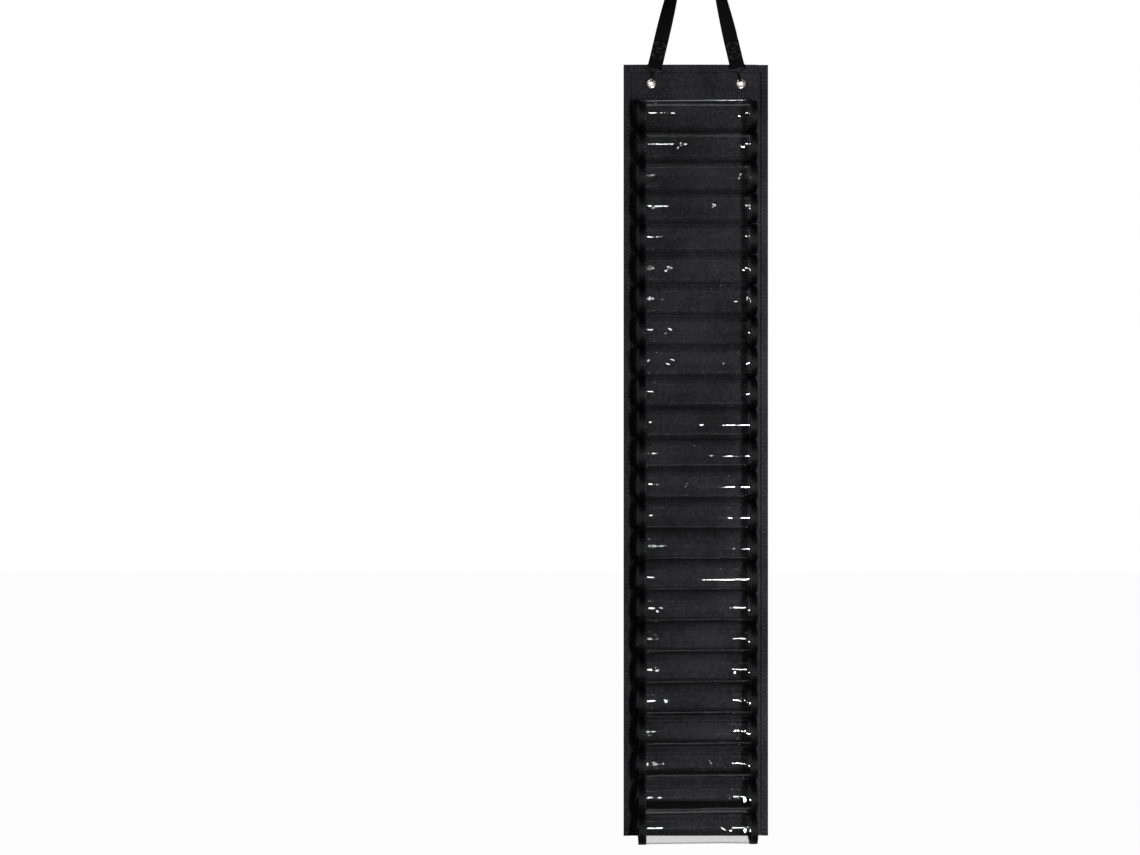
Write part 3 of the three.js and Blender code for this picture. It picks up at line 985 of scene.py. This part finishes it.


# Rows of stitches down both hems, along the top hem and along the bottom edge. Each row shows on
# the panel's back too, and so do the rows that hold the pockets. At each needle hole of the front
# rows lies a flat near-black bead, which is painted shade.
def sewHems():
    p = inMetres(panel)
    beads = []
    holes = []
    # the hems' rows start and end in a needle hole
    down = int((panelHigh.z - panelLow.z - p["rowInset"]) / stitchPitch) * stitchPitch
    half = int((panelHigh.x - p["rowInset"]) / stitchPitch) * stitchPitch
    side = panelHigh.x - p["sideStitch"]
    rows = [((x, panelHigh.z - stitchPitch), (x, panelHigh.z - down)) for x in (-side, side)]
    for reach, z in (
        (half, panelHigh.z - p["topStitch"]),
        (panelHigh.x - p["rowInset"], panelLow.z + p["lowStitch"]),
        (p["upperRowHalf"], panelHigh.z - p["upperRow"]),
    ):
        rows.append(((-reach, z), (reach, z)))
    for start, end in rows:
        way, run = sewRow(beads, start, end, panelFront, forward)
        sewRow(beads, start, end, panelBack, backward)
        step = Vector((end[0] - start[0], 0, end[1] - start[1])) / run * needleHole["length"] / 2 * mm
        count = round(run / stitchPitch)
        # painted shade: a flat near-black bead in each needle hole
        for k in range(count + 1):
            at = way(run * k / count)[0] + forward * p["holeLift"]
            holes.append((at - step, at + step, forward))
    long = Vector((tabRow["length"] * mm, 0, 0))
    for k in range(tabRow["count"]):
        x = tabRow["half"] * (2 * (k + 0.5) / tabRow["count"] - 1)
        middle = placed(x, tabRow["lift"], seamHeight(0) + tabRow["rise"])
        beads.append((middle - long / 2, middle + long / 2, forward))
    for i in range(pocket["count"] + 1):
        z = seamHeight(i) * mm
        sewRow(beads, (-p["seamRowHalf"], z), (p["seamRowHalf"], z), panelBack, backward)
    sewBeads("hem_stitching", beads, "panel")
    sewBeads("needle_hole_painted_shade", holes, "panel", needleHole, holeShadeYarn)


makePanel()
print("cloth panel made")


# Clear pockets. Each is a sheet bent to a D, drawn in millimetres as (depth, height) and then
# hung lower towards its front.

pocket = {
    "count": 24,
    "pitch": 50.3,
    "firstSeam": 63,
    "depth": 48,
    "sleeve": 193,
    "sheet": 0.5,
    "tab": 6,
    "tabStandOff": 0.9,
    "tabAskew": 0.016,
    "room": 3.7,
    "topSag": 3,
    "lowSag": 10.5,
    "tailSag": 18,
    "tailShares": [0.72, 1, 1],
    "foldStart": 29.5,
    "foldEnd": 33,
    "creaseRise": 0.45,
    "creaseReach": 10,
    "creaseRound": 5,
    "milkySeams": 5,
    "hardFoldFrom": 19,
    "endReach": 22,
    "endGap": 0.4,
    "turnRound": 20,
    "slack": 0.35,
    "slackSize": 90,
    "filmShare": 0.8,
    "wallSteps": 9,
    "frontSteps": 44,
    "acrossSteps": 124,
}
# the stitches that hold the top of the clear sheet
tabRow = {"rise": 1.8, "half": 84, "count": 30, "length": 3.8, "lift": 0.5}
# degrees by which the left and right half of each pocket's front are turned to the right
turns = [
    (0.13, -1.1), (-0.29, -1.3), (0.8, -1), (0.05, -1.2), (0.3, -1), (0.7, -1.1),
    (0.9, -1), (0.8, -0.88), (0.8, -0.61), (0.8, -0.6), (0.9, 0.05), (0.8, -0.05),
    (0.7, 0.12), (0.9, -0.14), (0.1, -0.34), (0.9, 0.9), (0.4, -0.55), (0.9, -0.75),
    (0.8, -1), (0.9, -0.8), (0.6, -0.1), (0.9, -0.85), (0.5, -1.1), (0.3, -1.2),
]
# small dents that catch a light: pocket, x, distance above its front crease, size and depth
dents = [
    (2, -29, 1, 6, 1), (2, 12, -8, 4, 0.6), (4, 23, 1, 4, 0.7), (6, -50, 1, 5, 0.8),
    (8, -50, 1, 5, 0.8), (9, -46, 1, 5, 0.8), (3, -78, 3, 4, 0.6), (6, -79, 3, 4, 0.6),
    (7, -79, 3, 4, 0.6), (17, -64, 3, 4, 0.5), (19, 62, 2, 4, 0.7), (19, 74, 0, 4, 0.7),
    (21, -76, 6, 4, 0.6), (22, -74, 9, 4, 0.6), (23, 78, 4, 5, 0.9), (24, 78, 5, 5, 0.9),
    (24, -62, -1, 6, 1.1), (24, 44, 2, 7, -1.3), (22, 18, 12, 3, 0.9), (20, -55, 8, 4, 0.5),
    (13, -20, 3, 3, 0.3), (11, 8, -3, 4, 0.3), (9, 70, 14, 4, 1.5), (11, 68, 13, 4, 1.4),
    (12, 66, 13, 4, 1.5), (12, 46, 14, 4, 1.4), (9, -66, 17, 4, 1.5), (10, -68, 16, 5, 1.8),
    (11, -78, -6, 5, 0.9), (8, -64, -19, 6, 0.7), (9, -68, -19, 6, 0.8), (11, -4, -19, 4, 0.7),
    (11, 14, -19, 5, 0.7), (12, -12, 14, 3, 1), (13, 60, 12, 4, 1.3), (14, -60, 14, 4, 1.4),
    (15, 40, -17, 5, 0.7), (16, 66, 12, 4, 1.3), (18, -70, 12, 4, 1.3), (1, 80, 12, 3, 0.6),
    (3, 67, 0, 3, 0.4), (7, 79, 2, 3, 0.6), (1, 82, 4.3, 3, 0.7), (1, 82, -6.5, 3, 0.8),
    (2, 82, 1, 3, 0.6), (2, 81, -6.5, 3, 0.8), (2, -59, -16, 3, 1), (3, 82, 5, 3, 0.8),
    (3, 81, -2, 3, 0.7), (4, 82, 3, 3, 0.7), (4, -72, -5, 3, 0.7), (5, 82, -3, 3, 0.7),
    (5, 30, 6, 3, 0.5), (6, 81, 4, 3, 0.7), (6, 20, -9, 3, 0.6), (7, 82, -4, 3, 0.7),
    (10, 40, -10, 3, 0.8), (13, -70, 8, 3, 0.8), (15, -75, 5, 3, 0.8), (16, -30, 10, 3, 0.8),
    (17, 50, 9, 3, 0.7), (19, -70, 10, 3, 0.8), (20, 70, 9, 3, 0.8), (21, 30, 11, 3, 0.7),
]
tape = {
    "width": 12,
    "thickness": 0.8,
    "bindGap": 0.1,
    "edgeLean": 0.1,
    "edgeDrop": 0.15,
    "edgeRound": 0.6,
    "foldIn": 0.3,
    "foldShare": 0.6,
    "foldInside": 0.2,
    "stitchInset": 2,
}
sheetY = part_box("pocket_01")[1].y - pocket["sheet"] / 2 * mm


def seamHeight(i):
    return panelHigh.z / mm - pocket["firstSeam"] - i * pocket["pitch"]


def pocketSag(i):
    even = pocket["count"] - len(pocket["tailShares"])
    if i >= even:
        return pocket["tailSag"] * pocket["tailShares"][i - even]
    return pocket["topSag"] + (pocket["lowSag"] - pocket["topSag"]) * i / (even - 1)


# The D's even outline, from the panel over the front and back, as (depth, height) points in order
# along it.
def dOutline(i):
    top = seamHeight(i) - pocket["room"] / 2
    bottom = seamHeight(i + 1) + pocket["room"] / 2
    radius = (top - bottom) / 2
    reach = pocket["depth"] - radius
    line = []
    if i == 0:
        left = [1, 0.8, 0.6, 0.4, 0.2]
        line += [(pocket["tabStandOff"] * t ** 4, top + pocket["tab"] * t) for t in left]
    walls = pocket["wallSteps"]
    line += [(reach * k / walls, top) for k in range(walls)]
    line += arcPoints((reach, (top + bottom) / 2), radius, math.pi / 2, -math.pi / 2,
                      pocket["frontSteps"])
    line += [(reach * (1 - k / walls), bottom) for k in range(1, walls + 1)]
    return line


# Distances in millimetres along an outline, from its most forward point.
def frontRuns(outline):
    runs = [0]
    for before, after in zip(outline, outline[1:]):
        runs.append(runs[-1] + math.dist(before, after))
    front = runs[max(range(len(outline)), key=lambda j: outline[j][0])]
    return [run - front for run in runs]


# the pockets whose left end has been pulled narrower, counted from 0
gaping = (5, 6, 10, 12, 13, 14, 15, 16, 17, 18, 19)
# how far the right end's lip stands out, from where and over what run: the first 7 pockets, those
# up to the 16th, and the rest
lips = [(0.9, 76, 9), (0.2, 54, 25), (1.9, 54, 25)]


# How each pocket has set in use: which end gapes, how far it leans, and where it has creases.
def pocketHabit(i):
    chance = random.Random(100 + i)
    lip, lipFrom, lipRun = lips[0 if i < 7 else 1 if i < 16 else 2]
    return {
        "lean": 0.1 * ease((i - 8) / 14) + chance.uniform(-0.03, 0.03),
        "flareLeft": (1.3 if i in gaping else 0.4) * chance.uniform(0.6, 1.2),
        "lip": lip * chance.uniform(0.85, 1.1),
        "lipFrom": lipFrom,
        "lipRun": lipRun,
        "ripple": chance.uniform(0.5, 0.9),
        "slant": chance.uniform(-0.012, 0.012),
        "seed": chance.uniform(0, 50),
    }


habits = [pocketHabit(i) for i in range(pocket["count"])]
outlines = [dOutline(i) for i in range(pocket["count"])]
runs = [frontRuns(outline) for outline in outlines]


# The resting place of outline point j of pocket i at x, in millimetres, without creases.
def setPoint(i, j, x):
    habit = habits[i]
    depth, height = outlines[i][j]
    half = pocket["sleeve"] / 2
    # the left end is pulled in a little, and the stiff binding holds the right end out
    back = habit["flareLeft"] * ease((pocket["endReach"] - x - half) / pocket["endReach"])
    back -= habit["lip"] * ease((x - habit["lipFrom"]) / habit["lipRun"])
    soft = math.hypot(x, pocket["turnRound"])
    left, right = turns[i]
    back += math.radians(left) * (x - soft) / 2 + math.radians(right) * (x + soft) / 2
    depth = depth * (1 - back / pocket["depth"])
    share = min(max(depth, 0) / pocket["depth"], 1)
    sag = pocketSag(i) * (1 - habit["lean"] * x / half)
    sag += pocket["slack"] * noise.noise(Vector((x / pocket["slackSize"], habit["seed"], share)))
    # the clear sheet's top edge was sewn on a little askew
    above = max(height - seamHeight(0), 0) if i == 0 else 0
    askew = pocket["tabAskew"] * x * above / pocket["tab"]
    return depth, height + askew - sag * share * (2 - share)


# The resting place with the sheet's outward normal there.
def setFrame(i, j, x):
    last = len(outlines[i]) - 1
    before = setPoint(i, max(j - 1, 0), x)
    after = setPoint(i, min(j + 1, last), x)
    at = setPoint(i, j, x)
    run = math.hypot(after[0] - before[0], after[1] - before[1])
    normal = (-(after[1] - before[1]) / run, (after[0] - before[0]) / run)
    return at, normal


def placed(x, depth, height):
    return Vector((x * mm, sheetY - depth * mm, height * mm))


# A point that stands out from the sheet by the lift.
def liftedPoint(i, j, x, lift):
    (depth, height), (nd, nz) = setFrame(i, j, x)
    return placed(x, depth + nd * lift, height + nz * lift)


# each kind of crease: height, size across, waves round the pocket, skew and step in the noise
creases = {
    "wave": (0.08, 90, 4, 0, 0),
    "ridge": (0.12, 40, 9, 1.5, 9),
    "pucker": (0.7, 14, 16, 0, 20),
}
creaseEnd = {
    "ridgeSharp": 5,
    "puckerReach": 9,
    "tapeFade": 5,
    "seamFade": 8,
    "drift": 0.4,
    "driftSize": 50,
}


# Creases in the vinyl: the old fold along each pocket's front, long soft waves, small dents, and
# puckers where the tape is sewn on.
def creaseHeight(i, j, x):
    habit = habits[i]
    seed = habit["seed"]
    fromTape = pocket["sleeve"] / 2 - tape["width"] - abs(x)
    u = j / (len(outlines[i]) - 1)
    free = ease(fromTape / creaseEnd["tapeFade"]) * ease(min(u, 1 - u) * creaseEnd["seamFade"])
    lift = 0
    for kind, (height, size, waves, skew, step) in creases.items():
        level = noise.noise(Vector((x / size + u * skew, u * waves, seed + step)))
        if kind == "ridge":
            level = (1 - min(abs(level) * creaseEnd["ridgeSharp"], 1)) ** 2
        elif kind == "pucker":
            level *= math.exp(-max(fromTape, 0) / creaseEnd["puckerReach"])
        lift += free * habit["ripple"] * height * level
    drift = creaseEnd["drift"] * noise.noise(Vector((x / creaseEnd["driftSize"], 3.3, seed)))
    along = runs[i][j] - habit["slant"] * x - drift
    near = math.hypot(along, pocket["creaseRound"]) - pocket["creaseRound"]
    fold = max(1 - near / pocket["creaseReach"], 0) ** 2
    lift += pocket["creaseRise"] * fold * ease(fromTape / 2 + 0.6)
    for number, place, above, size, height in dents:
        if number == i + 1:
            away = ((x - place) ** 2 + (runs[i][j] + above) ** 2) / (size * size)
            lift -= height * math.exp(-2 * away) * ease(fromTape / 4)
    return lift


def makePocket(i):
    name = "pocket_%02d" % (i + 1)
    count = len(outlines[i])
    half = pocket["sleeve"] / 2 - pocket["endGap"]
    places = [half * (2 * share - 1) for share in [0] + shares(pocket["acrossSteps"])]
    points = [liftedPoint(i, j, x, creaseHeight(i, j, x)) for x in places for j in range(count)]
    starts = [a for a in range(len(points) - count) if (a + 1) % count]
    faces = [(a, a + 1, a + count + 1, a + count) for a in starts]
    piece = newPiece("vinyl_" + name, points, faces, vinyl, "panel")
    # milky rows: the cut top edge, the folds at the highest seams, and the hard folds that lie
    # under the lowest pockets
    piece.data.materials.append(foldedVinyl)
    piece.data.materials.append(cutVinyl)
    edge = 2 if i == 0 else int(i < pocket["milkySeams"])
    for number, polygon in enumerate(piece.data.polygons):
        row = number % (count - 1)
        under = pocket["foldStart"] < runs[i][row] < pocket["foldEnd"]
        polygon.material_index = int(under and i >= pocket["hardFoldFrom"]) if row else edge
    film = piece.modifiers.new("film thickness", "SOLIDIFY")
    film.thickness = pocket["sheet"] * mm * pocket["filmShare"]
    film.offset = 0
    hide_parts(name)


# The binding wraps the sheet's end: out along its outer face, round the edge and back inside.
def tapeSection(sign):
    half = pocket["sleeve"] / 2
    inner = half - tape["width"]
    near = pocket["sheet"] / 2 + tape["bindGap"]
    far = near + tape["thickness"]
    section = [
        (inner, near),
        (inner + tape["edgeLean"], far - tape["edgeDrop"]),
        (inner + tape["edgeRound"], far),
    ]
    section += [(inner + tape["width"] * share, far) for share in (0.25, 0.5, 0.75)]
    back = [(x, -n) for x, n in section[::-1]]
    for degrees in (75, 36, 0, -36, -75):
        a = math.radians(degrees)
        x = half + (far - tape["foldIn"]) * tape["foldShare"] * math.cos(a)
        section.append((x, far * math.sin(a)))
    section += back
    inside = [(inner + tape["width"] * k / 3, -near) for k in (1, 2)]
    section += inside + [(half - tape["foldInside"], 0)]
    section += [(x, -n) for x, n in inside[::-1]]
    return [(sign * x, n) for x, n in section]


def makeTape(side, sign):
    points = []
    faces = []
    uvs = []
    section = tapeSection(sign)
    for i in range(pocket["count"]):
        rings = []
        run = 0
        for j in range(len(outlines[i])):
            ring = [liftedPoint(i, j, x, n) for x, n in section]
            if rings:
                run += (ring[4] - rings[-1][4]).length
            rings.append(ring)
            uvs += [(x * mm, run) for x, n in section]
        newPoints, newFaces = skinRings(rings, len(points))
        points += newPoints
        faces += newFaces
    piece = newPiece("binding_" + side, points, faces, binding, "panel", uvs=uvs)
    faceOutward(piece)
    shadeByAngle(piece)
    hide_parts("edge_tape_" + side)


# A row of stitches near the inner edge of each binding, right round every pocket.
def sewTapes():
    beads = []
    lift = pocket["sheet"] / 2 + tape["bindGap"] + tape["thickness"]
    inner = pocket["sleeve"] / 2 - tape["width"] + tape["stitchInset"]
    for x in (-inner, inner):
        for i in range(pocket["count"]):
            rows = range(len(outlines[i]))
            places = [liftedPoint(i, j, x, lift) for j in rows]
            normals = [setFrame(i, j, x)[1] for j in rows]
            gone = [0]
            for before, after in zip(places, places[1:]):
                gone.append(gone[-1] + (after - before).length)

            def way(t):
                j = next((j for j in rows[1:-1] if gone[j] >= t), rows[-1])
                share = (t - gone[j - 1]) / (gone[j] - gone[j - 1])
                nd, nz = normals[j]
                return places[j - 1].lerp(places[j], share), Vector((0, -nd, nz))

            addStitches(beads, way, gone[-1])
    sewBeads("binding_stitching", beads, "panel")


for index in range(pocket["count"]):
    makePocket(index)
sewHems()
print("clear pockets made")
makeTape("left", -1)
makeTape("right", 1)
sewTapes()
print("bindings made")


# Floor, world and lamps

studio = {
    "floorDrop": 2030,
    "floorFront": 0.3,
    "floorSize": 9,
    "floorShare": 0.97,
    "glowSideways": {"From Min": -0.22, "From Max": -0.04, "To Min": 0.15},
    "whiteBehind": {"From Min": 0.5, "From Max": 0.85},
    "fillSideways": {"From Min": -1, "To Min": 0.02, "To Max": 0.08},
    "fillBehind": {"From Max": 0.4, "To Max": 0.7},
}
# azimuth and elevation in degrees, distance and size in metres, power in watts
lamps = {
    "key": {"azimuth": 14, "elevation": -3, "distance": 2.2, "size": (0.2, 0.4), "power": 30},
    "side": {"azimuth": 68, "elevation": 14, "distance": 0.66, "size": (0.2, 1.5), "power": 0.7},
}
glints = {
    "lower": {"azimuth": 12.4, "elevation": -3, "distance": 2.2, "size": (0.4, 0.4), "power": 22},
    "upper": {"azimuth": -2, "elevation": 25, "distance": 3, "size": (0.42, 0.45), "power": 18},
}


# What gloss sees in front of the organizer, as (sine of the height angle, brightness): dark below
# and a dim glow above.
frontGlow = [
    (-0.95, 0.03), (-0.5, 0.015), (-0.1, 0.012), (0.05, 0.012), (0.2, 0.03),
    (0.35, 0.06), (0.55, 0.08), (0.8, 0.06), (0.98, 0.05),
]


def makeFloor():
    half = studio["floorSize"]
    front = -studio["floorFront"]
    z = -studio["floorDrop"] * mm
    mesh = bpy.data.meshes.new("floor")
    corners = [(-half, front, z), (half, front, z), (half, half, z), (-half, half, z)]
    mesh.from_pydata(corners, [], [(0, 1, 2, 3)])
    material, tree, surface = newMaterial("paleFloor", {
        "Base Color": hexColour("#f4f4f4"),
        "Roughness": 0.9,
    })
    share = addNode(tree, "Math", {1: studio["floorShare"]}, {0: seenDirectly(tree)},
                    operation="MULTIPLY")
    glow = addNode(tree, "Emission", {"Strength": 1})
    mix = addNode(tree, "MixShader", links={0: share, 1: surface, 2: glow})
    tree.links.new(mix.outputs[0], tree.nodes["Material Output"].inputs["Surface"])
    mesh.materials.append(material)
    addObject("floor", mesh)


# 1 for what the camera sees, straight or through the vinyl, and 0 for all other light.
def seenDirectly(tree):
    path = addNode(tree, "LightPath")
    seen = {0: path.outputs["Is Camera Ray"], 1: path.outputs["Is Transmission Ray"]}
    return addNode(tree, "Math", links=seen, operation="MAXIMUM")


# White for the camera and through the vinyl. Gloss sees white behind the organizer, and in front
# of it darkness with a dim glow above. Cloth gets a soft grey, stronger from the right.
def makeWorld():
    world = bpy.data.worlds.new("studio")
    bpy.context.scene.world = world
    world.use_nodes = True
    tree = world.node_tree
    path = addNode(tree, "LightPath")
    way = addNode(tree, "SeparateXYZ", links={0: addNode(tree, "TexCoord").outputs["Generated"]})
    height = addNode(tree, "MapRange", {"From Min": -1}, {"Value": way.outputs["Z"]})
    glow = addNode(tree, "ValToRGB", links={0: height})
    for place, level in frontGlow:
        stop = glow.color_ramp.elements.new((place + 1) / 2)
        stop.color = (level, level, level, 1)
    sideways = addNode(tree, "MapRange", studio["glowSideways"], {"Value": way.outputs["X"]})
    front = addNode(tree, "Math", links={0: glow, 1: sideways}, operation="MULTIPLY")
    behind = way.outputs["Y"]
    gloss = addNode(tree, "MapRange", studio["whiteBehind"], {"Value": behind, "To Min": front})
    fill = addNode(tree, "MapRange", studio["fillSideways"], {"Value": way.outputs["X"]})
    ambient = addNode(tree, "MapRange", studio["fillBehind"], {"Value": behind, "To Min": fill})
    lit = addNode(tree, "MapRange", links={
        "Value": path.outputs["Is Glossy Ray"],
        "To Min": ambient,
        "To Max": gloss,
    })
    level = addNode(tree, "MapRange", links={"Value": seenDirectly(tree), "To Min": lit})
    background = tree.nodes["Background"]
    background.inputs["Color"].default_value = (1, 1, 1, 1)
    tree.links.new(level.outputs[0], background.inputs["Strength"])


def addLamp(name, lamp, lightsCloth=True):
    data = bpy.data.lights.new(name, "AREA")
    data.shape = "RECTANGLE"
    data.size, data.size_y = lamp["size"]
    data.energy = lamp["power"]
    piece = addObject(name, data)
    a = math.radians(lamp["azimuth"])
    e = math.radians(lamp["elevation"])
    aim = Vector((0, hangY, (panelHigh.z + panelLow.z) / 2))
    away = Vector((math.sin(a) * math.cos(e), -math.cos(a) * math.cos(e), math.sin(e)))
    piece.location = aim + away * lamp["distance"]
    piece.rotation_euler = away.to_track_quat("Z", "Y").to_euler()
    piece.visible_diffuse = lightsCloth


makeFloor()
makeWorld()
for name, lamp in lamps.items():
    addLamp(name, lamp)
for name, lamp in glints.items():
    addLamp(name, lamp, False)
bpy.context.scene.view_settings.view_transform = "Standard"
print("studio lit")
